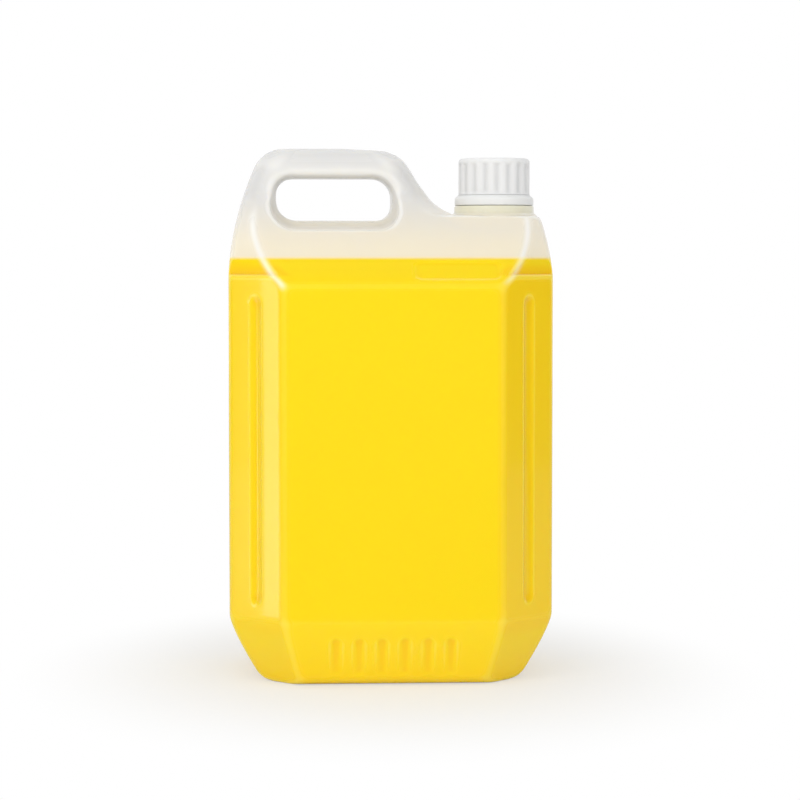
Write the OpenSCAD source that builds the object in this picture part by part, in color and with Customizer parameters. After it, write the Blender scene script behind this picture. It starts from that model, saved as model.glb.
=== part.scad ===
// Five-litre blow-moulded jug with a through handle, its liquid and its screw closure.
// Origin: centre of the base, on the surface it stands on. Front faces -Y, handle to -X.

/* [Body] */
// Width of the body, side to side
body_w = 180; // [170:1:190]
// Depth of the body, front to back
body_d = 139; // [130:1:148]
// How much of each plan corner is cut off at 45 degrees
corner_cut = 30; // [24:1:34]
// Softness of the ridges between front, corner facets and sides
ridge_round = 3; // [2:0.5:8]
// Wall thickness of the moulding
wall = 1; // [0.8:0.1:1.4]

/* [Base] */
// Height at which the walls start to draw in towards the base
taper_h = 36; // [30:1:42]
// How far each side draws in at the base
taper_x = 18; // [14:1:21]
// How far front and back draw in at the base
taper_y = 12; // [9:1:15]
// Radius of the bottom edge
base_edge_r = 5; // [3:0.5:6]
// Depth of the recess inside the standing ring
base_recess = 2.5; // [1.5:0.5:4]
// Width of the flat standing ring
ring_w = 10; // [8:1:14]

/* [Facets] */
// Width of the groove in each corner facet
groove_w = 8.8; // [6:0.2:11]
// Depth of the groove in each corner facet
groove_depth = 1.5; // [0.8:0.1:2]
// Lower end of the facet grooves
groove_z0 = 44.5; // [42:0.5:70]
// Upper end of the facet grooves
groove_z1 = 213.9; // [180:0.5:215]
// Number of flutes on the front and the back of the taper
flute_n = 6; // [2:1:8]
// Spacing of the flutes
flute_pitch = 12.6; // [10:0.2:14]
// Radius of a flute
flute_r = 4.2; // [3.4:0.1:4.6]
// Depth of a flute at its rounded upper end
flute_depth = 1.3; // [0.8:0.1:1.6]
// Height of the flutes' upper end
flute_top_z = 27.5; // [24:0.5:29]

/* [Shoulder] */
// Height of the crease between the front panel and the shoulder
shoulder_z = 220; // [210:1:226]
// Height of the ledge that tops each corner facet, above the crease
ledge_rise = 4.8; // [3:0.2:7]
// Width of that ledge
ledge_in = 2; // [1:0.2:3]
// Height of the platform that carries the neck
platform_z = 258.2; // [252:0.2:266]
// Depth of the platform, front to back
platform_d = 51; // [49:1:56]
// Distance of the platform's right-hand edge from the side of the body
platform_in = 5.5; // [3:0.5:6.5]
// Sunk date field on the front of the shoulder: width and height
field_w = 45.5; // [30:0.5:50]
field_h = 13.5; // [8:0.5:16]
// Distance of the middle of the date field from the right-hand side of the body
field_in = 54.8; // [50:0.2:62]
// Height of the middle of the date field above the crease
field_rise = 7.6; // [7:0.2:12]
// Depth of the date field
field_depth = 0.4; // [0.2:0.1:0.5]

/* [Handle] */
// Overall height of the jug
top_z = 296.2; // [292:0.2:304]
// Thickness of the handle, front to back
handle_d = 30; // [26:1:34]
// Length of the finger hole
hole_l = 65; // [58:1:68]
// Height of the finger hole
hole_h = 23.6; // [20:0.2:26]
// Distance of the finger hole from the left-hand side of the body
hole_in = 26.5; // [24.5:0.5:28.5]
// Height of the bottom of the hole above the platform, negative when below it
hole_drop = -2.6; // [-4:0.2:0]
// Corner radius of the finger hole
hole_r = 10.5; // [8:0.5:11.5]
// Radius of the handle's long upper edges
grip_r = 12; // [8:1:13]

/* [Neck] */
// Distance of the neck's axis from the right-hand side of the body
neck_in = 29.7; // [28.5:0.1:30]
// How far the neck's collar stands out beyond the tamper band
collar_over = 0.35; // [0:0.05:0.6]
// Height of the collar above the platform
collar_h = 5.6; // [4:0.2:6]
// Wall thickness of the neck
neck_wall = 1.7; // [1.4:0.1:2.8]
// Room for the thread between the neck and the inside of the cap
thread_room = 1.55; // [1.3:0.05:1.9]
// Height of the neck's rim above the platform
neck_h = 29.6; // [28:0.2:32]
// How far the bead that holds the tamper band lies within the outside of the cap
bead_in = 0.4; // [0.3:0.05:0.6]
// Clearance between that bead and the tamper band
bead_clear = 0.3; // [0.2:0.05:0.4]

/* [Closure] */
// Diameter of the cap over its ribs
cap_dia = 40.4; // [40:0.1:41.2]
// Wall thickness of the cap's skirt over its ribs
cap_wall = 1.25; // [1.1:0.05:1.5]
// Height of the cap
cap_h = 20.6; // [19.6:0.2:21.2]
// Thickness of the cap's top
cap_top = 1.5; // [1.2:0.1:2]
// Number of grip grooves round the cap
rib_n = 18; // [12:1:24]
// Depth of the grip grooves
rib_depth = 0.5; // [0.3:0.05:0.55]
// Thickness of the foam liner
liner_t = 1.5; // [1:0.1:2]
// Gap between cap and tamper band, closed only by the bridges
band_gap = 0.3; // [0.2:0.05:0.6]
// How far the tamper band flares out beyond the cap
band_flare = 2.15; // [1.8:0.05:2.4]
// Height of the tamper band
band_h = 5.6; // [5:0.1:6]
// Number of breakable bridges on the band
bridge_n = 8; // [4:1:12]

/* [Contents] */
// Height of the liquid's surface
fill_z = 234.3; // [200:0.5:240]
// Clearance between liquid and wall
fill_gap = 0.3; // [0.2:0.1:0.5]

/* [Hidden] */
$fn = 64;
half_w = body_w / 2;
half_d = body_d / 2;
facet_sum = half_w + half_d - corner_cut;
ledge_z = shoulder_z + ledge_rise;
// the shoulder narrows in depth by this much for each millimetre of height
slope = (half_d - platform_d / 2) / (platform_z - shoulder_z);
slope_angle = atan(slope);
crease_soft = 1.2;
grip_soft = 2.2;
// powers of the curves by which the walls draw in towards the base
side_power = 1.26;
depth_power = 1.2;
// radius at the top of the handle's left-hand end
crown_r = 10;
// plan corners of the handle are cut by this much
grip_cut = 9;
// the sides lean in above the shoulder along a parabola
lean = 0.0033;
corner_steps = 3;
platform_x = half_w - platform_in;
neck_x = half_w - neck_in;
field_x = half_w - field_in;
hole_x = hole_in + hole_l / 2 - half_w;
hole_z = platform_z + hole_drop + hole_h / 2;
cap_bore = cap_dia - 2 * cap_wall;
neck_dia = cap_bore - 2 * thread_room;
bore_dia = neck_dia - 2 * neck_wall;
bead_dia = cap_dia - 2 * bead_in;
band_dia = cap_dia + 2 * band_flare;
collar_dia = band_dia + 2 * collar_over;
// the tamper band's inside lip lies under the bead
lip_h = 1.4;
lip_gap = 0.2;
cap_z = platform_z + neck_h + liner_t + cap_top - cap_h;
band_z = cap_z - band_gap - band_h;
collar_z = platform_z + collar_h;
rim_z = platform_z + neck_h;
eps = 0.01;

function smooth_min(a, b, k) = -k * ln(exp(-(a - b) / k) + 1) + b;
function smooth_max(a, b, k) = k * ln(exp((a - b) / k) + 1) + b;
// how far a quarter round of radius r has drawn in, t above its start
function round_in(t, r) = t <= 0 ? 0 : r - sqrt(max(0, r * r - min(t, r) * min(t, r)));
function draw_in(z, reach, power) = z >= taper_h ? 0 : reach * pow(1 - z / taper_h, power);

// Half depth of the jug at a height: base, panel, shoulder slope and handle in one curve
function depth_at(z) =
    smooth_max(smooth_min(half_d, half_d - slope * (z - shoulder_z), crease_soft),
               handle_d / 2, grip_soft)
    - draw_in(z, taper_y, depth_power)
    - round_in(base_edge_r - z, base_edge_r)
    - round_in(z - (top_z - grip_r), grip_r);

// Left and right reach of the jug at a height
function side_at(z) = half_w - lean * pow(max(0, z - shoulder_z), 2)
    - draw_in(z, taper_x, side_power) - round_in(base_edge_r - z, base_edge_r);
function left_at(z) = -side_at(z) + round_in(z - (top_z - crown_r), crown_r);
// The right end above the platform, as its distance from the neck's axis at shares of the rise:
// a fillet, the sloping end of the handle and its round top
rise = top_z - platform_z;
right_end = [[0, 22.8], [0.04, 25.8], [0.11, 30.7], [0.22, 35.8], [0.42, 41.4], [0.53, 44.4],
             [0.68, 47.7], [0.83, 51.7], [0.91, 55.9], [0.97, 62.3], [1, 84.3]];
function right_at(z, on_top) = on_top ? neck_x - lookup((z - platform_z) / rise, right_end)
    : min(side_at(z), platform_x + 1.1 * sqrt(max(0, platform_z - z)));

// How much of the plan corners is cut off at a height
function cut_at(z) =
    z < ledge_z + eps
    ? side_at(z) + depth_at(z) - facet_sum + draw_in(z, corner_cut * 0.7, depth_power)
    : grip_cut + (side_at(ledge_z) + depth_at(ledge_z) - facet_sum + ledge_in * sqrt(2) - grip_cut)
      * pow(max(0, (platform_z - z) / (platform_z - ledge_z)), 1.5);

// One corner of a section, turned from point a through c to point b
function bend(a, c, b) = [for (i = [0:corner_steps]) let (t = i / corner_steps)
    a * pow(1 - t, 2) + c * 2 * t * (1 - t) + b * t * t];
function towards(a, b, s) = a + (b - a) * min(0.45, s / max(eps, norm(b - a)));

// A cut-corner rectangle with softened corners, as points at height z
function section(x0, x1, y, cut, z) =
    let (c = min(cut, 0.8 * y, (x1 - x0) / 3),
         q = [[x0 + c, -y], [x1 - c, -y], [x1, c - y], [x1, y - c],
              [x1 - c, y], [x0 + c, y], [x0, y - c], [x0, c - y]])
    [for (i = [0:7]) let (p = q[i])
        for (s = bend(towards(p, q[(i + 7) % 8], ridge_round), p,
                      towards(p, q[(i + 1) % 8], ridge_round)))
            [s.x, s.y, z]];

// Heights of the loft's sections, each with a flag that is true above the platform
levels = concat(
    [for (z = [0, 0.15, 0.4, 0.7, 1] * base_edge_r) [z, false]],
    [for (z = [0.35, 0.6, 0.8, 1] * taper_h) [z, false]],
    [for (t = [-8, -4, -1.5, 0.5, 2.5]) [shoulder_z + t, false]],
    [[ledge_z, false], [ledge_z + 0.6, false]],
    [for (i = [1:6]) [ledge_z + 0.6 + (platform_z - ledge_z - 0.6) * i / 6, false]],
    [for (s = [0.008, 0.04, 0.11, 0.22, 0.32, 0.42, 0.53]) [platform_z + s * rise, true]],
    [for (a = [0, 25, 42, 57, 70, 80, 90]) [top_z - grip_r + grip_r * sin(a), true]]);

// The wall is set off inwards; upper sections also move down and the lowest ones up
function drop_at(z) = lookup(z, [[0, -1], [base_edge_r, -0.4], [taper_h, 0],
                                 [shoulder_z - 6, 0], [ledge_z, 0.7], [platform_z, 1]]);

// The jug's closed skin, set in from its outside by the given amount
module skin(inset) {
    rings = [for (l = levels)
        let (z = l[0], y = depth_at(z) - inset, c = cut_at(z) - 0.586 * inset)
        section(left_at(z) + inset, right_at(z, l[1]) - inset, y, c, z - drop_at(z) * inset)];
    n = len(rings[0]);
    m = len(rings);
    // fans close both ends
    crown_x = (left_at(top_z) + right_at(top_z, true)) / 2;
    points = concat([for (r = rings) each r],
                    [[0, 0, rings[0][0].z], [crown_x, 0, rings[m - 1][0].z]]);
    faces = concat(
        [for (j = [0:m - 2]) for (i = [0:n - 1]) let (k = (i + 1) % n)
            each [[j * n + i, (j + 1) * n + i, (j + 1) * n + k],
                  [j * n + i, (j + 1) * n + k, j * n + k]]],
        [for (i = [0:n - 1]) [m * n, i, (i + 1) % n]],
        [for (i = [0:n - 1]) [m * n + 1, (m - 1) * n + (i + 1) % n, (m - 1) * n + i]]);
    polyhedron(points, faces);
}

// Finger hole, flared to both faces, grown by the given amount
module finger_hole(grow) {
    // distance from the middle plane as a share of the handle's half depth, and the flare there
    flare = [[0, 0], [0.6, 0], [0.8, 0.7], [0.93, 2], [1.03, 3.4], [1.4, 5.4], [2.2, 9]];
    half = [for (f = flare) [f[0] * handle_d / 2, f[1] + grow]];
    stations = concat([for (i = [len(half) - 1:-1:1]) [-half[i][0], half[i][1]]],
                      [for (i = [1:len(half) - 1]) half[i]]);
    steps = 6;
    rings = [for (s = stations)
        let (l = hole_l / 2 + s[1], h = hole_h / 2 + s[1], r = hole_r + s[1] * 0.9)
        [for (q = [0:3]) for (i = [0:steps]) let (a = 90 * q + 90 * i / steps,
             cx = (q == 0 || q == 3 ? 1 : -1) * (l - r), cz = (q < 2 ? 1 : -1) * (h - r))
            [hole_x + cx + r * cos(a), s[0], hole_z + cz + r * sin(a)]]];
    n = len(rings[0]);
    m = len(rings);
    points = concat([for (r = rings) each r],
                    [[hole_x, stations[0][0], hole_z], [hole_x, stations[m - 1][0], hole_z]]);
    faces = concat(
        [for (j = [0:m - 2]) for (i = [0:n - 1]) let (k = (i + 1) % n)
            each [[j * n + i, (j + 1) * n + k, (j + 1) * n + i],
                  [j * n + i, j * n + k, (j + 1) * n + k]]],
        [for (i = [0:n - 1]) [m * n, (i + 1) % n, i]],
        [for (i = [0:n - 1]) [m * n + 1, (m - 1) * n + i, (m - 1) * n + (i + 1) % n]]);
    polyhedron(points, faces);
}

// Round-ended grooves down the four corner facets
module facet_grooves(grow) {
    r = (pow(groove_w / 2, 2) + pow(groove_depth, 2)) / (2 * groove_depth);
    out = facet_sum / sqrt(2) + r - groove_depth;
    mid = (half_w - half_d) / 2;
    for (sx = [-1, 1]) for (sy = [-1, 1])
        translate([sx * (out / sqrt(2) + mid), sy * (out / sqrt(2) - mid), 0]) {
            translate([0, 0, groove_z0 + groove_w / 2])
                cylinder(h = groove_z1 - groove_z0 - groove_w, r = r + grow);
            for (z = [groove_z0, groove_z1])
                translate([0, 0, z + sign(groove_z1 - z - 1) * groove_w / 2])
                    sphere(r = r + grow);
        }
}

// Short flutes on the taper, front and back, that fade out towards the base
module base_flutes(grow) {
    top_y = depth_at(flute_top_z - flute_r) - flute_depth + flute_r;
    foot_y = depth_at(base_edge_r) + flute_r;
    run = flute_top_z - flute_r - base_edge_r;
    for (side = [0, 180]) rotate([0, 0, side])
        for (i = [0:flute_n - 1])
            translate([(i - (flute_n - 1) / 2) * flute_pitch, -top_y, flute_top_z - flute_r]) {
                sphere(r = flute_r + grow);
                rotate([180 + atan((top_y - foot_y) / run), 0, 0])
                    cylinder(h = norm([run, top_y - foot_y]), r = flute_r + grow);
            }
}

// Recess inside the standing ring
module under_recess(grow) {
    x = side_at(0) - ring_w + grow;
    ring = section(-x, x, depth_at(0) - ring_w + grow, cut_at(0), 0);
    translate([0, 0, -1])
        linear_extrude(height = base_recess + 1 + grow)
            polygon([for (p = ring) [p.x, p.y]]);
}

// Sunk date field, square to the shoulder's slope
module date_field(grow) {
    r = 3;
    above = 4;
    z = shoulder_z + field_rise;
    translate([field_x, -depth_at(z), z])
        rotate([90 - slope_angle, 0, 0])
            translate([0, 0, -field_depth - grow])
                union() {
                    translate([-field_w / 2 + r, -field_h / 2, 0])
                        cube([field_w - 2 * r, field_h, above]);
                    translate([-field_w / 2, -field_h / 2 + r, 0])
                        cube([field_w, field_h - 2 * r, above]);
                    for (sx = [-1, 1]) for (sy = [-1, 1])
                        translate([sx * (field_w / 2 - r), sy * (field_h / 2 - r), 0])
                            cylinder(h = above, r = r);
                }
}

// Everything solid about the neck, turned about its axis
module neck_solid() {
    foot = 1.6;
    edge = 0.4;
    bead_z = band_z + lip_h + lip_gap;
    bead_h = 0.6;
    bead_slope = 1.8;
    translate([neck_x, 0, 0])
        rotate_extrude()
            polygon([[0, platform_z - 2 * wall], [collar_dia / 2 + foot, platform_z - 2 * wall],
                     [collar_dia / 2 + foot, platform_z], [collar_dia / 2, platform_z + foot],
                     [collar_dia / 2, collar_z - edge], [collar_dia / 2 - edge, collar_z],
                     [neck_dia / 2, collar_z], [neck_dia / 2, bead_z],
                     [bead_dia / 2, bead_z], [bead_dia / 2, bead_z + bead_h],
                     [neck_dia / 2, bead_z + bead_h + bead_slope], [neck_dia / 2, rim_z - edge],
                     [neck_dia / 2 - edge, rim_z], [0, rim_z]]);
}

module jug() {
    color([0.93, 0.92, 0.87, 0.6])
    difference() {
        union() {
            difference() {
                skin(0);
                finger_hole(0);
                facet_grooves(0);
                base_flutes(0);
                under_recess(0);
                date_field(0);
            }
            neck_solid();
        }
        difference() {
            skin(wall);
            finger_hole(wall);
            facet_grooves(wall);
            base_flutes(wall);
            under_recess(wall);
        }
        translate([neck_x, 0, platform_z - 3 * wall])
            cylinder(h = neck_h + 4 * wall, d = bore_dia);
    }
}

module floor_cleaner() {
    gap = wall + fill_gap;
    color([0.98, 0.85, 0.08])
    difference() {
        skin(gap);
        facet_grooves(gap);
        base_flutes(gap);
        under_recess(gap);
        translate([-half_w, -half_d, fill_z])
            cube([body_w, body_d, top_z]);
    }
}

module cap() {
    groove_r = 2.6;
    edge = 1.4;
    color("white")
    translate([neck_x, 0, cap_z])
    difference() {
        rotate_extrude()
            polygon([[0, 0], [cap_dia / 2, 0], [cap_dia / 2, cap_h - edge],
                     [cap_dia / 2 - 0.3 * edge, cap_h - 0.3 * edge], [cap_dia / 2 - edge, cap_h],
                     [0, cap_h]]);
        translate([0, 0, -1])
            cylinder(h = cap_h - cap_top + 1, d = cap_bore);
        for (i = [0:rib_n - 1])
            rotate([0, 0, 360 * (i + 0.5) / rib_n])
                translate([cap_dia / 2 + groove_r - rib_depth, 0, -1])
                    cylinder(h = cap_h + 0.4 - edge, r = groove_r);
    }
}

module tamper_band() {
    lip_r = bead_dia / 2 - 0.5;
    inside_r = bead_dia / 2 + bead_clear;
    top_wall = 0.3;
    shoulder_h = 1.8;
    bridge_d = 0.6;
    color("white")
    translate([neck_x, 0, band_z]) {
        rotate_extrude()
            polygon([[lip_r, 0], [band_dia / 2, 0], [band_dia / 2, band_h - shoulder_h],
                     [inside_r + top_wall, band_h], [inside_r, band_h],
                     [inside_r, lip_h], [lip_r, lip_h - bead_clear]]);
        for (i = [0:bridge_n - 1])
            rotate([0, 0, 360 * i / bridge_n])
                translate([inside_r, 0, band_h - 1])
                    cylinder(h = 1 + band_gap, d = bridge_d);
    }
}

module cap_liner() {
    liner_clear = 0.3;
    color([0.96, 0.96, 0.95])
    translate([neck_x, 0, rim_z])
        cylinder(h = liner_t, d = cap_bore - 2 * liner_clear);
}

jug();
floor_cleaner();
cap();
tamper_band();
cap_liner();
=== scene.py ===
import math

import bpy
import numpy as np
from mathutils import Euler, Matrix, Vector


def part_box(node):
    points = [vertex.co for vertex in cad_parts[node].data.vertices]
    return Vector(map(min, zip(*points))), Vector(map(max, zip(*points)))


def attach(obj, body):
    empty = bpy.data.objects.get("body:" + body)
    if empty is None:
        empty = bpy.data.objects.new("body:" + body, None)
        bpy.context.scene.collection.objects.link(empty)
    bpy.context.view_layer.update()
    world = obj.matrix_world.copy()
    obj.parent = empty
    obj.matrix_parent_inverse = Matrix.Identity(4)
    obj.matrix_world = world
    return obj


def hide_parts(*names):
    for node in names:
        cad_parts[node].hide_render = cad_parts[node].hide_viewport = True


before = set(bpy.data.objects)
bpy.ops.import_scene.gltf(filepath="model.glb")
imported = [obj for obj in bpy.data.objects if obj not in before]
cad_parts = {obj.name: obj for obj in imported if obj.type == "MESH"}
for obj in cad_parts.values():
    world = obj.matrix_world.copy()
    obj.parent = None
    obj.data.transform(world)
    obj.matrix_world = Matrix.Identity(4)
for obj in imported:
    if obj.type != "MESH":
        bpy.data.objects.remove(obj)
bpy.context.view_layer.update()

MM = 0.001

# Sizes of the jug in millimetres, taken from the frame where it gives them
jug_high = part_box("jug")[1] / MM
cap_low, cap_high = (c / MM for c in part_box("cap"))
band_low, band_high = (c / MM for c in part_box("tamper_band"))
liner_low, liner_high = (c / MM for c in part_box("cap_liner"))
HALF_W = jug_high.x
HALF_D = jug_high.y
TOP = jug_high.z
NECK_X = (cap_low.x + cap_high.x) / 2
RIM_Z = liner_low.z
CAP_R = (cap_high.x - cap_low.x) / 2
BAND_R = (band_high.x - band_low.x) / 2
FILL_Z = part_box("floor_cleaner")[1].z / MM

# Body and base
CORNER_CUT = 30.0
TAPER_H = 36.0
TAPER_X = 18.0
TAPER_Y = 12.0
BASE_EDGE = 5.0
RING_W = 10.0
RECESS = 2.5
FACET_SUM = HALF_W + HALF_D - CORNER_CUT

# Shoulder and platform
NECK_H = 29.6
PLATFORM_Z = RIM_Z - NECK_H
PLATFORM_HALF_D = 25.5
PLATFORM_X = HALF_W - 5.5
SHOULDER_Z = 220.0
LEDGE_Z = SHOULDER_Z + 4.8
LEDGE_IN = 2.0
LEDGE_H = 10.0
SLOPE = (HALF_D - PLATFORM_HALF_D) / (PLATFORM_Z - SHOULDER_Z)
FIELD_CENTRE = (HALF_W - 54.8, SHOULDER_Z + 7.6)
FIELD_SIZE = (45.5, 13.5)
FIELD_DEPTH = 0.45

# Handle
HANDLE_HALF_D = 15.0
GRIP_R = 12.0
GRIP_CUT = 9.0
CROWN_R = 10.0
HOLE_L = 65.0
HOLE_H = 23.6
HOLE_X = 26.5 + HOLE_L / 2 - HALF_W
HOLE_Z = PLATFORM_Z - 2.6 + HOLE_H / 2

# Grooves and flutes
GROOVE_W = 8.8
GROOVE_DEPTH = 1.5
GROOVE_Z = (44.5, 213.9)
FLUTES = 6
FLUTE_PITCH = 12.6
FLUTE_HALF_W = 3.1
FLUTE_DEPTH = (0.45, 1.1)
FLUTE_Z = (6.0, 27.5)

# Neck and closure
COLLAR_H = 5.85
NECK_R = 17.4
BORE_R = 15.7
BEAD_R = 19.8
CAP_BORE_R = CAP_R - 1.25
CAP_EDGE = 2.0
GRIP_GROOVES = 18
GRIP_DEPTH = 0.8
BAND_GAP = 0.1
BRIDGES = 8

# Threads, whose depth is negative where they stand inwards
THREAD_PITCH = 4.2
THREAD_W = 2.0
THREAD_ROOT = 0.3
NECK_THREAD = {"depth": 1.1, "low": 273.4, "turns": 2.5}
CAP_THREAD = {"depth": -1.0, "low": 275.5, "turns": 2.25}

# Fineness of the jug's skin
VOXEL = 1.1
JUG_TRIANGLES = 188000
NECK_TRIANGLES = 16000
RIDGE_SOFTENING = 4
GLINT_HALF_W = 1.8
SHARP_ANGLE = math.radians(50)

# Colours of the wall where the liquid stands behind it and where it is empty. The tints for the facets, the
# ledges and the hollows are painted shade, those for the ridges and the glint are painted highlights, and
# the lit cream is painted light thrown up from the liquid
FILLED = {"plain": (0.985, 0.705, 0.002), "cloud": (0.985, 0.68, 0.002),
          "base": (0.99, 0.64, 0.003), "facet": (0.99, 0.63, 0.002),
          "ledge": (0.97, 0.55, 0.002), "hollow_and_painted_shade": (0.96, 0.56, 0.002),
          "ridge": (0.99, 0.83, 0.13), "glint": (0.97, 0.93, 0.72)}
EMPTY = {"plain": (0.73, 0.725, 0.715), "lit": (0.91, 0.82, 0.63), "cloud": (0.66, 0.64, 0.58),
         "hollow_and_painted_shade": (0.66, 0.63, 0.54), "collar": (0.80, 0.77, 0.60), "ridge": (0.93, 0.92, 0.885)}
WHITE_CAP = (0.84, 0.84, 0.835)
WHITE_RING = (0.83, 0.835, 0.825)


# Outline of the jug

def smooth_min(a, b, k):
    return b - k * math.log(math.exp(-(a - b) / k) + 1)


def smooth_max(a, b, k):
    return b + k * math.log(math.exp((a - b) / k) + 1)


def round_in(t, r):
    t = min(max(t, 0.0), r)
    return r - math.sqrt(r * r - t * t)


def draw_in(z, reach, power):
    return reach * max(0.0, 1 - z / TAPER_H) ** power


def depth_at(z):
    wall = smooth_min(HALF_D, HALF_D - SLOPE * (z - SHOULDER_Z), 1.2)
    return (smooth_max(wall, HANDLE_HALF_D, 2.2) - draw_in(z, TAPER_Y, 1.2)
            - round_in(BASE_EDGE - z, BASE_EDGE) - round_in(z - (TOP - GRIP_R), GRIP_R))


def side_at(z):
    return (HALF_W - 0.0033 * max(0.0, z - SHOULDER_Z) ** 2
            - draw_in(z, TAPER_X, 1.26) - round_in(BASE_EDGE - z, BASE_EDGE))


def left_at(z):
    return -side_at(z) + round_in(z - (TOP - CROWN_R), CROWN_R)


# Shares of the rise above the platform, and the jug's right end there from the neck's axis
RISE = TOP - PLATFORM_Z
RIGHT_END = [(0, 22.8), (0.04, 25.8), (0.11, 30.7), (0.22, 35.8), (0.42, 41.4), (0.53, 44.4),
             (0.68, 47.7), (0.83, 51.7), (0.91, 55.9), (0.97, 62.3), (1, 84.3)]


def right_at(z, on_top):
    if on_top:
        shares, reach = zip(*RIGHT_END)
        return NECK_X - float(np.interp((z - PLATFORM_Z) / RISE, shares, reach))
    return min(side_at(z), PLATFORM_X + 1.1 * math.sqrt(max(0.0, PLATFORM_Z - z)))


def cut_at(z, ledge=0.0):
    """How much of the plan corners is cut off, with a ledge of the given width if one is asked for."""
    plane = side_at(z) + depth_at(z) - FACET_SUM + draw_in(z, CORNER_CUT * 0.7, 1.2)
    if z <= LEDGE_Z:
        return plane
    start = side_at(LEDGE_Z) + depth_at(LEDGE_Z) - FACET_SUM
    left = max(0.0, (PLATFORM_Z - z) / (PLATFORM_Z - LEDGE_Z))
    near = max(0.0, 1 - (z - LEDGE_Z) / LEDGE_H) ** 1.3
    return GRIP_CUT + (start - GRIP_CUT) * left ** 1.5 + ledge * near * math.sqrt(2)


def section(x0, x1, y, cut, z, steps=6):
    """A cut-corner rectangle, its corners crisp on the body and softer on the handle."""
    soft = float(np.interp(z, (LEDGE_Z, PLATFORM_Z), (2.6, 5.5)))
    c = min(cut, 0.8 * y, (x1 - x0) / 3)
    q = [(x0 + c, -y), (x1 - c, -y), (x1, c - y), (x1, y - c),
         (x1 - c, y), (x0 + c, y), (x0, y - c), (x0, c - y)]
    q = [np.array(p) for p in q]
    out = []
    for i, p in enumerate(q):
        ends = []
        for other in (q[i - 1], q[(i + 1) % 8]):
            length = np.linalg.norm(other - p)
            ends.append(p + (other - p) * min(0.45, soft / max(length, 0.01)))
        for t in np.linspace(0, 1, steps + 1):
            bend = ends[0] * (1 - t) ** 2 + p * 2 * t * (1 - t) + ends[1] * t * t
            out.append((bend[0], bend[1], z))
    return out


# Meshes

def new_object(name, verts, faces):
    """Makes an object from points in millimetres."""
    mesh = bpy.data.meshes.new(name)
    mesh.from_pydata([tuple(float(c) * MM for c in v) for v in verts], [], faces)
    mesh.validate()
    mesh.update()
    obj = bpy.data.objects.new(name, mesh)
    bpy.context.scene.collection.objects.link(obj)
    return obj


def loft(name, rings):
    """Closes a stack of rings, each a list of points, with a fan at both ends."""
    n = len(rings[0])
    verts = [p for ring in rings for p in ring]
    faces = []
    for j in range(len(rings) - 1):
        for i in range(n):
            k = (i + 1) % n
            faces.append((j * n + i, j * n + k, (j + 1) * n + k, (j + 1) * n + i))
    for ring, base, flip in ((rings[0], 0, True), (rings[-1], (len(rings) - 1) * n, False)):
        verts.append(np.mean(np.array(ring), axis=0))
        mid = len(verts) - 1
        for i in range(n):
            a, b = base + i, base + (i + 1) % n
            faces.append((mid, b, a) if flip else (mid, a, b))
    return new_object(name, verts, faces)


def lathe(name, profile, x, segments=128):
    """Turns a closed profile of (r, z) points about the vertical axis through x."""
    turns = [2 * math.pi * i / segments for i in range(segments)]
    verts = [(x + r * math.cos(a), r * math.sin(a), z) for r, z in profile for a in turns]
    n, m = segments, len(profile)
    faces = []
    for j in range(m):
        for i in range(n):
            k = (i + 1) % n
            up = (j + 1) % m
            faces.append((j * n + i, j * n + k, up * n + k, up * n + i))
    return new_object(name, verts, faces)


def apply_all(obj):
    """Turns an object and its modifiers into a plain mesh."""
    graph = bpy.context.evaluated_depsgraph_get()
    mesh = bpy.data.meshes.new_from_object(obj.evaluated_get(graph))
    obj.modifiers.clear()
    old = obj.data
    obj.data = mesh
    bpy.data.meshes.remove(old)
    return obj


def combine(obj, other, operation, solver="MANIFOLD"):
    mod = obj.modifiers.new("combine", "BOOLEAN")
    mod.operation = operation
    mod.solver = solver
    mod.object = other
    apply_all(obj)
    bpy.data.objects.remove(other)
    return obj


def read_vectors(items, field):
    flat = np.zeros(len(items) * 3)
    items.foreach_get(field, flat)
    return flat.reshape(-1, 3)


def soft_step(a, b, t):
    t = np.clip((t - a) / (b - a), 0, 1)
    return t * t * (3 - 2 * t)


# Node trees

def operator(operation, swapped=False):
    def method(self, other=0.0):
        pair = (other, self) if swapped else (self, other)
        return self.tree.node("ShaderNodeMath", {"operation": operation}, dict(enumerate(pair)))
    return method


class Value:
    """A socket that adds its Math nodes as a Python expression is written."""

    def __init__(self, tree, socket):
        self.tree = tree
        self.socket = socket

    __add__ = operator("ADD")
    __radd__ = operator("ADD", True)
    __sub__ = operator("SUBTRACT")
    __rsub__ = operator("SUBTRACT", True)
    __mul__ = operator("MULTIPLY")
    __rmul__ = operator("MULTIPLY", True)
    __truediv__ = operator("DIVIDE")
    __rtruediv__ = operator("DIVIDE", True)
    __pow__ = operator("POWER")
    __abs__ = operator("ABSOLUTE")
    __gt__ = operator("GREATER_THAN")
    cosine = operator("COSINE")
    arctan2 = operator("ARCTAN2")
    larger = operator("MAXIMUM")

    def __neg__(self):
        return self * -1

    def ramp(self, low, high):
        """0 below low, 1 above high, smooth between."""
        return self.tree.node("ShaderNodeMapRange", {"interpolation_type": "SMOOTHSTEP"},
                              {"Value": self, "From Min": low, "From Max": high})


class Tree:
    """A node tree whose nodes all come from one method."""

    def __init__(self, tree):
        self.tree = tree

    def node(self, kind, settings=None, inputs=None, output=0):
        made = self.tree.nodes.new(kind)
        for key, value in (settings or {}).items():
            setattr(made, key, value)
        for key, value in (inputs or {}).items():
            if isinstance(value, Value):
                self.tree.links.new(value.socket, made.inputs[key])
            else:
                made.inputs[key].default_value = value
        return Value(self, made.outputs[output]) if made.outputs else None

    def split(self, vector):
        """The x, y and z of a vector, in millimetres."""
        parts = self.node("ShaderNodeSeparateXYZ", inputs={0: vector}).socket.node.outputs
        return [Value(self, part) / MM for part in parts]


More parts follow.
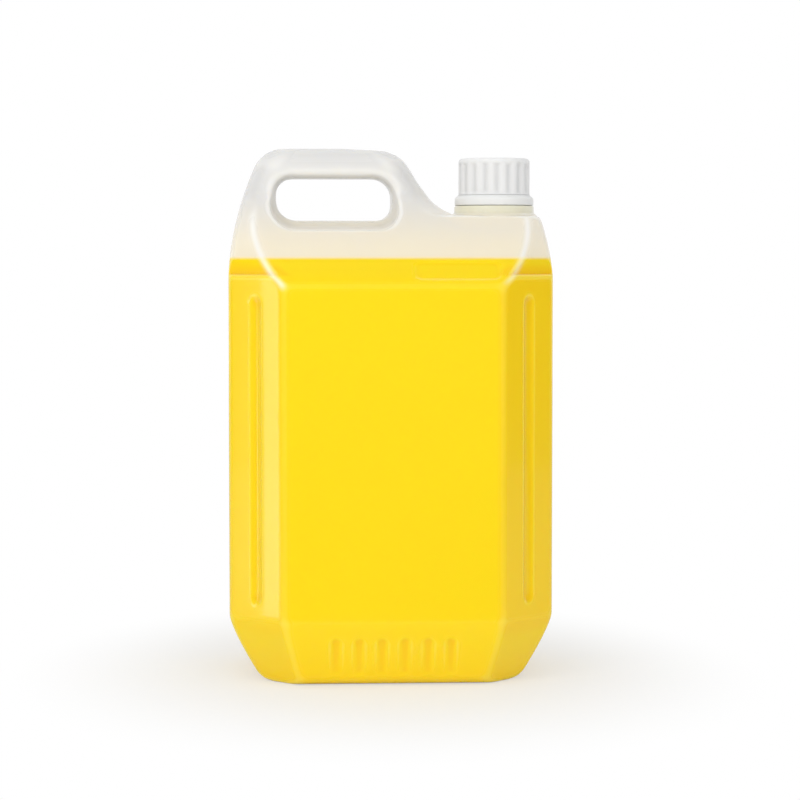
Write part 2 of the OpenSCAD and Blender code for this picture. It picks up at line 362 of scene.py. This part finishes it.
class Surface(Tree):
    """One material's node tree."""

    def __init__(self, name):
        self.material = bpy.data.materials.new(name)
        self.material.use_nodes = True
        super().__init__(self.material.node_tree)
        self.tree.nodes.clear()
        self.place = self.node("ShaderNodeTexCoord", output="Object")

    def mix(self, factor, a, b):
        a, b = (c if isinstance(c, Value) else (*c, 1) for c in (a, b))
        return self.node("ShaderNodeMix", {"data_type": "RGBA"}, {0: factor, 6: a, 7: b}, 2)

    def noise(self, scale, detail=3.0):
        return self.node("ShaderNodeTexNoise", {}, {"Vector": self.place, "Scale": scale, "Detail": detail})

    def bump(self, height, strength, distance, after=None):
        inputs = {"Height": height, "Strength": strength, "Distance": distance}
        if after:
            inputs["Normal"] = after
        return self.node("ShaderNodeBump", {}, inputs)

    def finish(self, shader):
        self.node("ShaderNodeOutputMaterial", {}, {"Surface": shader})
        return self.material


class Shape(Tree):
    """A Geometry Nodes tree with named sizes, which is run on an object and made its mesh."""

    def __init__(self, name, sizes):
        super().__init__(bpy.data.node_groups.new(name, "GeometryNodeTree"))
        self.sizes = sizes
        face = self.tree.interface
        face.new_socket("Geometry", in_out="INPUT", socket_type="NodeSocketGeometry")
        for label, value in sizes.items():
            kind = "NodeSocketInt" if isinstance(value, int) else "NodeSocketFloat"
            face.new_socket(label, in_out="INPUT", socket_type=kind)
        face.new_socket("Geometry", in_out="OUTPUT", socket_type="NodeSocketGeometry")
        self.given = self.tree.nodes.new("NodeGroupInput")

    def size(self, label):
        return Value(self, self.given.outputs[label])

    def point(self, x, y, z):
        return self.node("ShaderNodeCombineXYZ", {}, {0: x, 1: y, 2: z})

    def run(self, obj, geometry, material):
        real = self.node("GeometryNodeRealizeInstances", {}, {"Geometry": geometry})
        dressed = self.node("GeometryNodeSetMaterial", {}, {"Geometry": real, "Material": material})
        self.node("NodeGroupOutput", {}, {0: dressed})
        mod = obj.modifiers.new(self.tree.name, "NODES")
        mod.node_group = self.tree
        for item in self.tree.interface.items_tree:
            if item.name in self.sizes:
                mod[item.identifier] = self.sizes[item.name]
        return apply_all(obj)


# Materials

def moulded_wall():
    """Natural blow-moulded polyethylene, yellow where the liquid stands behind it."""
    s = Surface("natural_polyethylene")
    x, y, z = s.split(s.place)
    cloud = s.noise(14, 4)
    bend = s.node("ShaderNodeAttribute", {"attribute_name": "ridge"}, output="Fac")
    ridge = bend.ramp(0.006, 0.05)
    hollow_and_painted_shade = (-bend).ramp(0.006, 0.05)

    corner_sum = abs(x) + abs(y)
    right = x.ramp(-20, 20)

    # the liquid's line is a soft meniscus
    wet = 1 - (z - FILL_Z).ramp(-1.0, 1.6)
    yellow = s.mix(cloud.ramp(0.35, 0.7) * 0.25, FILLED["plain"], FILLED["cloud"])
    yellow = s.mix((1 - z.ramp(0, 34)) * 0.4, yellow, FILLED["base"])
    # painted shade: the corner facets turn a deeper orange, more so on the right, away from the key light
    facet = corner_sum.ramp(FACET_SUM - 5, FACET_SUM - 1)
    yellow = s.mix(facet * (0.3 + 0.4 * right), yellow, FILLED["facet"])
    # painted shade in the recess just above the ledge on each shoulder corner
    ledge = z.ramp(LEDGE_Z - 0.5, LEDGE_Z + 1) * (1 - z.ramp(LEDGE_Z + 3, LEDGE_Z + 8))
    corner = corner_sum.ramp(FACET_SUM - 12, FACET_SUM - 7) * abs(y).ramp(24, 30)
    yellow = s.mix(ledge * corner * 0.5, yellow, FILLED["ledge"])
    # painted shade deepens the mould's hollows and a painted highlight pales its ridges
    yellow = s.mix(hollow_and_painted_shade * 0.5, yellow, FILLED["hollow_and_painted_shade"])
    yellow = s.mix(ridge * 0.4, yellow, FILLED["ridge"])
    glint = s.node("ShaderNodeAttribute", {"attribute_name": "glint"}, output="Fac")
    yellow = s.mix(glint * (0.85 - 0.35 * right), yellow, FILLED["glint"])

    # painted light thrown up from the liquid tints the empty wall cream near the liquid, and the same cream
    # lies about the platform
    near = 1 - (z - FILL_Z).ramp(0, 42)
    platform = x.ramp(8, 45) * 0.7
    cream = s.mix(near.larger(platform), EMPTY["plain"], EMPTY["lit"])
    cream = s.mix(cloud * 0.12, cream, EMPTY["cloud"])
    # painted shade in the hollows of the empty wall
    cream = s.mix(hollow_and_painted_shade * 0.25, cream, EMPTY["hollow_and_painted_shade"])
    from_neck = ((x - NECK_X) ** 2 + y ** 2) ** 0.5
    collar = z.ramp(PLATFORM_Z, PLATFORM_Z + 2.5) * (1 - from_neck.ramp(BAND_R + 1, BAND_R + 3))
    cream = s.mix(collar * 0.9, cream, EMPTY["collar"])
    # painted highlight along the ridges and the shoulder's glint stripes
    cream = s.mix((ridge * 0.6).larger(glint * 0.8), cream, EMPTY["ridge"])

    # the two mould halves meet in a fine raised line
    parting = 1 - abs(y).ramp(0.15, 0.55)
    grain = s.bump(s.noise(300, 0), 0.06, 0.0002)
    flow = s.bump(s.noise(22, 0), 0.08, 0.003, grain)
    seam = s.bump(parting, 0.5, 0.0004, flow)
    wall = {"Roughness": 0.28 - 0.06 * ridge, "Normal": seam, "IOR": 1.5, "Specular IOR Level": 0.3,
            "Coat Weight": 0.3, "Coat Roughness": 0.06}
    filled = s.node("ShaderNodeBsdfPrincipled", {"subsurface_method": "RANDOM_WALK"},
                    {**wall, "Base Color": yellow, "Subsurface Weight": 0.3,
                     "Subsurface Radius": (1.0, 0.55, 0.08), "Subsurface Scale": 0.005})
    empty = s.node("ShaderNodeBsdfPrincipled", {"subsurface_method": "RANDOM_WALK"},
                   {**wall, "Base Color": cream, "Subsurface Weight": 0.4,
                    "Subsurface Radius": (1.0, 0.9, 0.7), "Subsurface Scale": 0.004})
    return s.finish(s.node("ShaderNodeMixShader", {}, {0: wet, 1: empty, 2: filled}))


def white_moulding(name, base):
    """Injection-moulded white polypropylene with a faint satin texture."""
    s = Surface(name)
    cloud = s.noise(60, 3)
    colour = s.mix(cloud * 0.2, base, tuple(c * 0.95 for c in base))
    # painted shade darkens the cap's grip grooves
    hollow_and_painted_shade = s.node("ShaderNodeAttribute", {"attribute_name": "hollow_and_painted_shade"}, output="Fac")
    colour = s.mix(hollow_and_painted_shade * 0.4, colour, tuple(c * 0.78 for c in base))
    fine = s.bump(s.noise(1400, 2), 0.12, 0.00015)
    return s.finish(s.node("ShaderNodeBsdfPrincipled", {"subsurface_method": "RANDOM_WALK"},
                           {"Base Color": colour, "Roughness": 0.34 + 0.12 * cloud, "Normal": fine,
                            "Subsurface Weight": 0.3, "Subsurface Radius": (1, 0.95, 0.9),
                            "Subsurface Scale": 0.002}))


def cleaner():
    """The yellow liquid itself, thick enough to look solid."""
    s = Surface("yellow_cleaner")
    swirl = s.noise(9, 2)
    colour = s.mix(swirl * 0.4, (0.98, 0.74, 0.01), (0.97, 0.68, 0.01))
    return s.finish(s.node("ShaderNodeBsdfPrincipled", {}, {"Base Color": colour,
                                                            "Roughness": 0.08 + 0.04 * swirl}))


def foam():
    s = Surface("foam_liner")
    cells = s.node("ShaderNodeTexVoronoi", {}, {"Vector": s.place, "Scale": 1500})
    colour = s.mix(cells * 0.3, (0.88, 0.88, 0.87), (0.8, 0.8, 0.79))
    return s.finish(s.node("ShaderNodeBsdfPrincipled", {}, {"Base Color": colour, "Roughness": 0.8,
                                                            "Normal": s.bump(cells, 0.3, 0.0002)}))


def dress(obj, material):
    obj.data.materials.clear()
    obj.data.materials.append(material)
    obj.data.polygons.foreach_set("material_index", [0] * len(obj.data.polygons))
    return obj


# Jug

def body_loft():
    low = [(z, False) for z in np.linspace(0, 1, 7) * BASE_EDGE]
    low += [(z, False) for z in np.linspace(BASE_EDGE + 3, TAPER_H, 10)]
    low += [(z, False) for z in np.linspace(TAPER_H + 8, SHOULDER_Z - 10, 6)]
    low += [(z, False) for z in np.linspace(SHOULDER_Z - 8, PLATFORM_Z, 34)]
    high = [(z, True) for z in np.linspace(PLATFORM_Z + 0.3, TOP - GRIP_R, 24)]
    high += [(TOP - GRIP_R + GRIP_R * math.sin(a), True) for a in np.radians(range(8, 91, 8))]
    return loft("jug_blank", [section(left_at(z), right_at(z, on_top), depth_at(z), cut_at(z), z)
                              for z, on_top in low + high])


def hole_loft():
    """The finger hole as a plug that flares out to both faces."""
    # distance from the middle plane as a share of the handle's half depth, and the flare there
    flare = [(0.55, 0.0), (0.7, 0.25), (0.8, 0.8), (0.88, 1.5), (0.94, 2.3), (1.0, 3.0),
             (1.15, 3.6), (1.4, 4.1), (1.8, 4.8), (2.4, 6.0)]
    stations = [(-s, g) for s, g in reversed(flare)] + flare
    # corner radii: right top, left top, left bottom, right bottom
    radii = (10.8, 8.8, 11.4, 8.4)
    rings = []
    for share, grown in stations:
        ring = []
        for q, radius in enumerate(radii):
            r = radius + 0.9 * grown
            cx = (1 if q in (0, 3) else -1) * (HOLE_L / 2 + grown - r)
            cz = (1 if q < 2 else -1) * (HOLE_H / 2 + grown - r)
            for a in np.radians(np.linspace(90 * q, 90 * q + 90, 12)):
                ring.append((HOLE_X + cx + r * math.cos(a), share * HANDLE_HALF_D,
                             HOLE_Z + cz + r * math.sin(a)))
        rings.append(ring)
    plug = loft("hole_plug", rings)
    plug.data.flip_normals()
    return plug


def groove_relief(co):
    """Depth of the round-ended grooves down the four corner facets."""
    r = ((GROOVE_W / 2) ** 2 + GROOVE_DEPTH ** 2) / (2 * GROOVE_DEPTH)
    mid = FACET_SUM / 2
    offset = (HALF_W - HALF_D) / 2
    x, y, z = np.abs(co[:, 0]), np.abs(co[:, 1]), co[:, 2]
    across = ((x - mid - offset) - (y - mid + offset)) / math.sqrt(2)
    past = np.maximum(GROOVE_Z[0] + GROOVE_W / 2 - z, z - GROOVE_Z[1] + GROOVE_W / 2)
    u = np.hypot(across, np.maximum(past, 0))
    cut = np.sqrt(np.maximum(r * r - u * u, 0)) - (r - GROOVE_DEPTH)
    edge = 0.12
    depth = np.where(u < r, edge * np.logaddexp(0, cut / edge), 0)
    return depth * (np.abs(x + y - FACET_SUM) < 8)


def along_height(z, low, high, rule, steps=60):
    """A rule of one height, read at many heights."""
    levels = np.linspace(low, high, steps)
    return np.interp(z, levels, [rule(level) for level in levels])


def ledge_relief(co):
    """Clips the shoulder's corners back to a plane that starts with a ledge on each facet."""
    x, y, z = np.abs(co[:, 0]), np.abs(co[:, 1]), co[:, 2]
    edge = along_height(z, LEDGE_Z + 0.01, PLATFORM_Z,
                        lambda h: side_at(h) + depth_at(h) - cut_at(h, LEDGE_IN))
    past = np.maximum(x + y - edge, 0) / math.sqrt(2)
    return past * soft_step(LEDGE_Z, LEDGE_Z + 0.8, z) * (z < PLATFORM_Z - 2)


def shoulder_glint(co):
    """1 along the four ridges that run up the shoulder, soft to both sides."""
    x, z = np.abs(co[:, 0]), co[:, 2]
    low = np.where(co[:, 0] > 0, LEDGE_Z - 2, SHOULDER_Z)
    ridge = along_height(z, SHOULDER_Z - 8, PLATFORM_Z + 8,
                         lambda h: side_at(h) - cut_at(h))
    on = soft_step(low - 4, low + 1, z) * (1 - soft_step(PLATFORM_Z - 6, PLATFORM_Z + 8, z))
    return np.exp(-((x - ridge) / GLINT_HALF_W) ** 2) * on


def flute_relief(co):
    """Depth of the short upright flutes on the taper."""
    x, z = co[:, 0], co[:, 2]
    low, high = FLUTE_Z[0], FLUTE_Z[1] - FLUTE_HALF_W
    deep = np.interp(z, (low, high), FLUTE_DEPTH) * soft_step(low - 1, low + 3, z)
    depth = np.zeros(len(co))
    for i in range(FLUTES):
        u = np.hypot(x - (i - (FLUTES - 1) / 2) * FLUTE_PITCH, np.maximum(z - high, 0))
        depth = np.maximum(depth, 1 - (u / FLUTE_HALF_W) ** 2)
    return deep * depth


def rounded_field(dx, dy, half_x, half_y, r):
    """Signed distance to a rounded rectangle, negative inside."""
    qx, qy = np.abs(dx) - half_x + r, np.abs(dy) - half_y + r
    return np.hypot(np.maximum(qx, 0), np.maximum(qy, 0)) + np.minimum(np.maximum(qx, qy), 0) - r


def carve(obj):
    """Presses the fine forms of the mould into the smooth blank."""
    mesh = obj.data
    co = read_vectors(mesh.vertices, "co") / MM
    normal = read_vectors(mesh.vertices, "normal")
    push = groove_relief(co) + ledge_relief(co)
    co[:, :2] -= np.sign(co[:, :2]) / math.sqrt(2) * push[:, None]
    walls = (np.abs(normal[:, 1]) > 0.75) & (co[:, 2] < TAPER_H)
    co[:, 1] -= np.sign(co[:, 1]) * flute_relief(co) * walls
    # the date field lies on the shoulder's slope
    along = (co[:, 2] - FIELD_CENTRE[1]) * math.hypot(1, SLOPE)
    field = rounded_field(co[:, 0] - FIELD_CENTRE[0], along, FIELD_SIZE[0] / 2, FIELD_SIZE[1] / 2, 3)
    front = (co[:, 1] < -30) & (normal[:, 1] < -0.3)
    sunk = FIELD_DEPTH * (1 - soft_step(-0.5, 0.5, field)) * front
    co -= normal * sunk[:, None]
    # the base stands on a ring
    base = rounded_field(co[:, 0], co[:, 1], side_at(0) - RING_W, depth_at(0) - RING_W, 16)
    under = (normal[:, 2] < -0.5) & (co[:, 2] < 4)
    co[:, 2] += RECESS * (1 - soft_step(-2.5, 0, base)) * under
    co[:, 2] = np.maximum(co[:, 2], 0)
    mesh.vertices.foreach_set("co", (co * MM).ravel())
    mesh.update()


def note_ridges(obj):
    """Stores how far each point stands out from its neighbours, softened, as an attribute."""
    mesh = obj.data
    count = len(mesh.vertices)
    co = read_vectors(mesh.vertices, "co") / MM
    normal = read_vectors(mesh.vertices, "normal")
    ends = np.zeros(len(mesh.edges) * 2, dtype=int)
    mesh.edges.foreach_get("vertices", ends)
    a, b = ends.reshape(-1, 2).T
    links = np.bincount(a, minlength=count) + np.bincount(b, minlength=count)

    def mean(values):
        return (np.bincount(a, values[b], count) + np.bincount(b, values[a], count)) / links

    centre = np.stack([mean(co[:, i]) for i in range(3)], axis=1)
    bend = ((co - centre) * normal).sum(axis=1)
    for _ in range(RIDGE_SOFTENING):
        bend = 0.5 * bend + 0.5 * mean(bend)
    mesh.attributes.new("ridge", "FLOAT", "POINT").data.foreach_set("value", bend)
    glint = shoulder_glint(co) * (np.abs(normal[:, 1]) > 0.2)
    mesh.attributes.new("glint", "FLOAT", "POINT").data.foreach_set("value", glint)


def thread(name, radius, depth, low, turns, material):
    """A left-handed helical ridge on a wall of this radius; a negative depth stands inwards."""
    half = (abs(depth) + THREAD_ROOT) / 2
    middle = radius + math.copysign(half - THREAD_ROOT, depth)
    shape = Shape(name, {"Turns": turns, "Pitch": THREAD_PITCH * MM, "Radius": middle * MM,
                         "Depth": half * MM, "Width": THREAD_W * MM})
    pitch, deep = shape.size("Pitch"), shape.size("Depth")
    spiral = shape.node("GeometryNodeCurveSpiral", {},
                        {"Resolution": 96, "Rotations": shape.size("Turns"),
                         "Start Radius": shape.size("Radius"), "End Radius": shape.size("Radius"),
                         "Height": pitch * shape.size("Turns")})
    upright = shape.node("GeometryNodeSetCurveNormal", {"mode": "Z_UP"}, {"Curve": spiral})
    # the profile is a diamond whose far point is rooted in the wall
    half_w = shape.size("Width") / 2
    profile = shape.node("GeometryNodeCurvePrimitiveQuadrilateral", {"mode": "KITE"},
                         {"Width": deep * 2, "Bottom Height": half_w, "Top Height": half_w})
    along = shape.node("GeometryNodeSplineParameter", output="Factor")
    ease = along.ramp(0, 0.06) * (1 - along.ramp(0.94, 1)) * 0.8 + 0.2
    ridge = shape.node("GeometryNodeCurveToMesh", {}, {"Curve": upright, "Profile Curve": profile,
                                                       "Scale": ease, "Fill Caps": True})
    placed = shape.node("GeometryNodeTransform", {},
                        {"Geometry": ridge, "Translation": (NECK_X * MM, 0, low * MM)})
    return shape.run(new_object(name, [], []), placed, material)


def neck_profile():
    root_z = PLATFORM_Z - 8
    collar_z = PLATFORM_Z + COLLAR_H
    bead_z = band_low.z + 1.6
    return [(BORE_R, root_z), (BAND_R + 0.3, root_z), (BAND_R + 0.3, PLATFORM_Z + 1.4),
            (BAND_R + 0.2, collar_z - 0.6), (BAND_R - 0.1, collar_z - 0.15), (BAND_R - 0.6, collar_z),
            (NECK_R, collar_z), (NECK_R, bead_z), (BEAD_R, bead_z), (BEAD_R, bead_z + 0.6),
            (NECK_R, bead_z + 2.4), (NECK_R, RIM_Z - 0.6), (NECK_R - 0.6, RIM_Z),
            (BORE_R + 0.3, RIM_Z), (BORE_R, RIM_Z - 0.3)]


def triangles(obj):
    return sum(len(p.vertices) - 2 for p in obj.data.polygons)


def build_jug(material):
    jug = combine(body_loft(), hole_loft(), "DIFFERENCE")
    # the collar's foot joins the blank so that it blends into the platform
    core, low, high = 0.5, PLATFORM_Z - 12, PLATFORM_Z + 3.6
    foot = [(core, low), (BAND_R + 2.6, low), (BAND_R + 2.4, PLATFORM_Z),
            (BAND_R - 1.6, high), (core, high)]
    jug = combine(jug, lathe("collar_foot", foot, NECK_X), "UNION")
    remesh = jug.modifiers.new("remesh", "REMESH")
    remesh.mode = "VOXEL"
    remesh.voxel_size = VOXEL * MM
    smooth = jug.modifiers.new("smooth", "SMOOTH")
    smooth.factor = 0.5
    smooth.iterations = 7
    apply_all(jug)
    carve(jug)
    note_ridges(jug)
    thin = jug.modifiers.new("thin", "DECIMATE")
    thin.ratio = min(1.0, (JUG_TRIANGLES - NECK_TRIANGLES) / triangles(jug))
    apply_all(jug)
    neck = lathe("neck", neck_profile(), NECK_X)
    neck = combine(neck, thread("neck_thread", NECK_R, material=material, **NECK_THREAD), "UNION")
    jug = combine(jug, neck, "UNION")
    jug.name = jug.data.name = "jug_shell"
    return dress(jug, material)


# Closure

def press_grooves(cap, material):
    """Shallow grip grooves round the cap's skirt, faded out towards both of its ends."""
    shape = Shape("grip_grooves", {"Grooves": GRIP_GROOVES, "Depth": GRIP_DEPTH * MM,
                                   "Skirt Radius": CAP_R * MM, "Axis": NECK_X * MM,
                                   "Lower End": (cap_low.z + 0.4) * MM,
                                   "Upper End": (cap_high.z - 2.4) * MM})
    place = shape.node("GeometryNodeInputPosition")
    x, y, z = (part * MM for part in shape.split(place))
    out = x - shape.size("Axis")
    radius = (out * out + y * y) ** 0.5
    wave = 0.5 - 0.5 * (y.arctan2(out) * shape.size("Grooves")).cosine()
    low_end, high_end = shape.size("Lower End"), shape.size("Upper End")
    fade = z.ramp(low_end, low_end + 1.2 * MM) * (1 - z.ramp(high_end - 1.4 * MM, high_end))
    outside = radius > shape.size("Skirt Radius") - 0.4 * MM
    hollow_and_painted_shade = wave ** 1.5 * fade * outside
    press = hollow_and_painted_shade * shape.size("Depth") / radius
    # the grooves' depth is also stored, for the painted shade in them
    noted = shape.node("GeometryNodeStoreNamedAttribute", {"data_type": "FLOAT", "domain": "POINT"},
                       {"Geometry": shape.size("Geometry"), "Name": "hollow_and_painted_shade", "Value": hollow_and_painted_shade})
    moved = shape.node("GeometryNodeSetPosition", {},
                       {"Geometry": noted, "Offset": shape.point(out * press * -1, y * press * -1, 0.0)})
    return shape.run(cap, moved, material)


def build_cap(material):
    top, low = cap_high.z, cap_low.z
    inside = liner_high.z
    bore = CAP_BORE_R
    outer = [(CAP_R, z) for z in np.linspace(low, top - 2.2, 28)]
    outer += [(CAP_R - CAP_EDGE + CAP_EDGE * math.cos(a), top - CAP_EDGE + CAP_EDGE * math.sin(a))
              for a in np.radians(range(8, 91, 8))]
    # a shallow dish in the top, with the gate mark in its middle
    dish_z, gate_z = top - 0.4, top - 0.2
    crown = [(16.2, top), (15.6, top - 0.35), (15.0, dish_z), (2.2, dish_z), (1.8, gate_z),
             (0.2, gate_z)]
    inner = [(0.2, inside), (bore - 0.6, inside), (bore, inside - 0.5), (bore, low + 0.8), (bore + 0.5, low)]
    cap = lathe("cap_skirt", outer + crown + inner, NECK_X, 288)
    press_grooves(cap, material)
    spiral = thread("cap_thread", bore, material=material, **CAP_THREAD)
    cap = combine(cap, spiral, "UNION", "EXACT")
    return dress(cap, material)


def build_band(material):
    low, top = band_low.z, cap_low.z - BAND_GAP
    lip, inside = BEAD_R - 0.5, BEAD_R + 0.3
    profile = [(lip, low), (BAND_R - 0.5, low), (BAND_R - 0.15, low + 0.2), (BAND_R, low + 0.6)]
    profile += [(BAND_R, top - 2.4)]
    for t in np.linspace(0.1, 1, 8):
        profile.append((BAND_R - (BAND_R - CAP_R) * t ** 1.4, top - 2.2 + 2.2 * t))
    profile += [(inside, top), (inside, low + 1.4), (lip, low + 1.1)]
    band = lathe("break_ring", profile, NECK_X, 160)
    shape = Shape("breakable_bridges", {"Bridges": BRIDGES, "Ring Radius": (inside + 0.15) * MM,
                                        "Pin Radius": 0.3 * MM, "Height": (1 + BAND_GAP) * MM,
                                        "Foot": (top - 1) * MM})
    ring = shape.node("GeometryNodeMeshCircle", {}, {"Vertices": shape.size("Bridges"),
                                                     "Radius": shape.size("Ring Radius")})
    height = shape.size("Height")
    pin = shape.node("GeometryNodeMeshCylinder", {}, {"Vertices": 12, "Radius": shape.size("Pin Radius"),
                                                      "Depth": height})
    pins = shape.node("GeometryNodeInstanceOnPoints", {}, {"Points": ring, "Instance": pin})
    placed = shape.node("GeometryNodeTransform", {},
                        {"Geometry": pins, "Translation": shape.point(
                            NECK_X * MM, 0.0, shape.size("Foot") + height * 0.5)})
    bridges = shape.run(new_object("bridges", [], []), placed, material)
    return dress(combine(band, bridges, "UNION"), material)


# Pieces

wall = moulded_wall()
white = white_moulding("white_cap", WHITE_CAP)
ring_white = white_moulding("white_ring", WHITE_RING)
jug = build_jug(wall)
cap = build_cap(white)
band = build_band(ring_white)
for piece in (jug, cap, band):
    piece.data.polygons.foreach_set("use_smooth", [True] * len(piece.data.polygons))
    piece.data.set_sharp_from_angle(angle=SHARP_ANGLE)

for piece, node, body, slot in ((jug, "jug", "jug", "jug_wall"), (cap, "cap", "cap", "closure"),
                                (band, "tamper_band", "jug", "closure")):
    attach(piece, body)
    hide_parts(node)
for node, material in (("floor_cleaner", cleaner()), ("cap_liner", foam())):
    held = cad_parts[node]
    if held.material_slots:
        held.material_slots[0].material = material
    else:
        held.data.materials.append(material)


# Stage, light and camera

def pale_floor():
    """Matt white card that turns to plain white, for the camera alone, away from the jug."""
    s = Surface("pale_floor")
    x, y = s.split(s.place)[:2]
    away = (x ** 2 + (y / 1.3) ** 2) ** 0.5
    lit = s.node("ShaderNodeBsdfPrincipled", {}, {"Base Color": (0.9, 0.9, 0.9, 1), "Roughness": 0.9})
    glow = s.node("ShaderNodeEmission", {}, {"Color": (1, 1, 1, 1), "Strength": 1.0})
    seen = s.node("ShaderNodeLightPath", output="Is Camera Ray")
    plain = 0.5 + 0.5 * away.ramp(80, 220)
    return s.finish(s.node("ShaderNodeMixShader", {}, {0: seen * plain, 1: lit, 2: glow}))


def build_stage():
    size = 3000
    under = -0.2
    floor = new_object("floor", [(-size, -size, under), (size, -size, under), (size, size, under),
                                 (-size, size, under)], [(0, 1, 2, 3)])
    dress(floor, pale_floor())


def build_flags():
    """Dark cards about the jug and over the floor's front keep the colours deep in reflections."""
    left, right, near, back, high = -1500, 1500, -2600, 400, 2600
    floor_end = -250
    card = new_object("dark_flags", [(left, near, 0), (right, near, 0), (right, back, 0),
                                     (left, back, 0), (left, near, high), (right, near, high),
                                     (right, back, high), (left, back, high),
                                     (left, floor_end, 0), (right, floor_end, 0)],
                      [(0, 1, 5, 4), (1, 2, 6, 5), (3, 0, 4, 7), (4, 5, 6, 7), (0, 1, 9, 8)])
    s = Surface("dark_card")
    dress(card, s.finish(s.node("ShaderNodeBsdfDiffuse", {}, {"Color": (0.03, 0.03, 0.03, 1)})))
    card.visible_camera = card.visible_diffuse = card.visible_shadow = False
    card.visible_transmission = False


def build_world():
    world = bpy.data.worlds.new("studio")
    world.use_nodes = True
    world.node_tree.nodes.clear()
    sky = Tree(world.node_tree)
    rays = [sky.node("ShaderNodeLightPath", output=name)
            for name in ("Is Camera Ray", "Is Glossy Ray", "Is Transmission Ray")]
    plain = rays[0].larger(rays[1]).larger(rays[2])
    soft_level = 0.66
    level = plain + (1 - plain) * soft_level
    glow = sky.node("ShaderNodeBackground", {}, {"Color": (1, 1, 1, 1), "Strength": level})
    sky.node("ShaderNodeOutputWorld", {}, {"Surface": glow})
    bpy.context.scene.world = world


def softbox(name, at, target, size, watts, glossy=False, diffuse=True):
    """A rectangular lamp, in metres and watts, that points from its place to its target."""
    light = bpy.data.lights.new(name, "AREA")
    light.shape = "RECTANGLE"
    light.size, light.size_y = size
    light.energy = watts
    obj = bpy.data.objects.new(name, light)
    obj.location = at
    obj.visible_glossy = glossy
    obj.visible_diffuse = diffuse
    obj.rotation_euler = (Vector(target) - Vector(at)).to_track_quat("-Z", "Y").to_euler()
    bpy.context.scene.collection.objects.link(obj)


def build_lights():
    # the strip is seen in reflections alone, and the other lamps never are
    softbox("strip_left", (-0.32, -0.067, 0.1), (0, -0.067, 0.1), (0.02, 0.34), 0.115,
            glossy=True, diffuse=False)
    softbox("key_left", (-0.9, -1.3, 0.6), (0, -0.03, 0.15), (1.1, 1.1), 3.6)
    softbox("crown_left", (-0.55, -0.7, 0.5), (0.03, 0, 0.27), (0.25, 0.25), 0.85)
    softbox("front_fill", (0.45, -1.85, 0.42), (0, 0, 0.15), (1.6, 1.2), 9.7)
    softbox("top_light", (-0.15, -0.25, 1.25), (0, 0, 0.15), (0.9, 0.7), 1.3)


def build_camera():
    # the focal length is an estimate in pixels of the photograph
    focal, photo_w = 2478, 800
    tilt, swing = math.radians(3.28), math.radians(-3.0)
    data = bpy.data.cameras.new("camera")
    data.sensor_width = 36
    data.lens = focal / photo_w * data.sensor_width
    camera = bpy.data.objects.new("camera", data)
    camera.location = (-0.067, -1.4084, 0.2346)
    camera.rotation_euler = Euler((math.radians(90) - tilt, 0, swing))
    bpy.context.scene.collection.objects.link(camera)
    bpy.context.scene.camera = camera


build_stage()
build_flags()
build_world()
build_lights()
build_camera()
bpy.context.scene.view_settings.view_transform = "Standard"
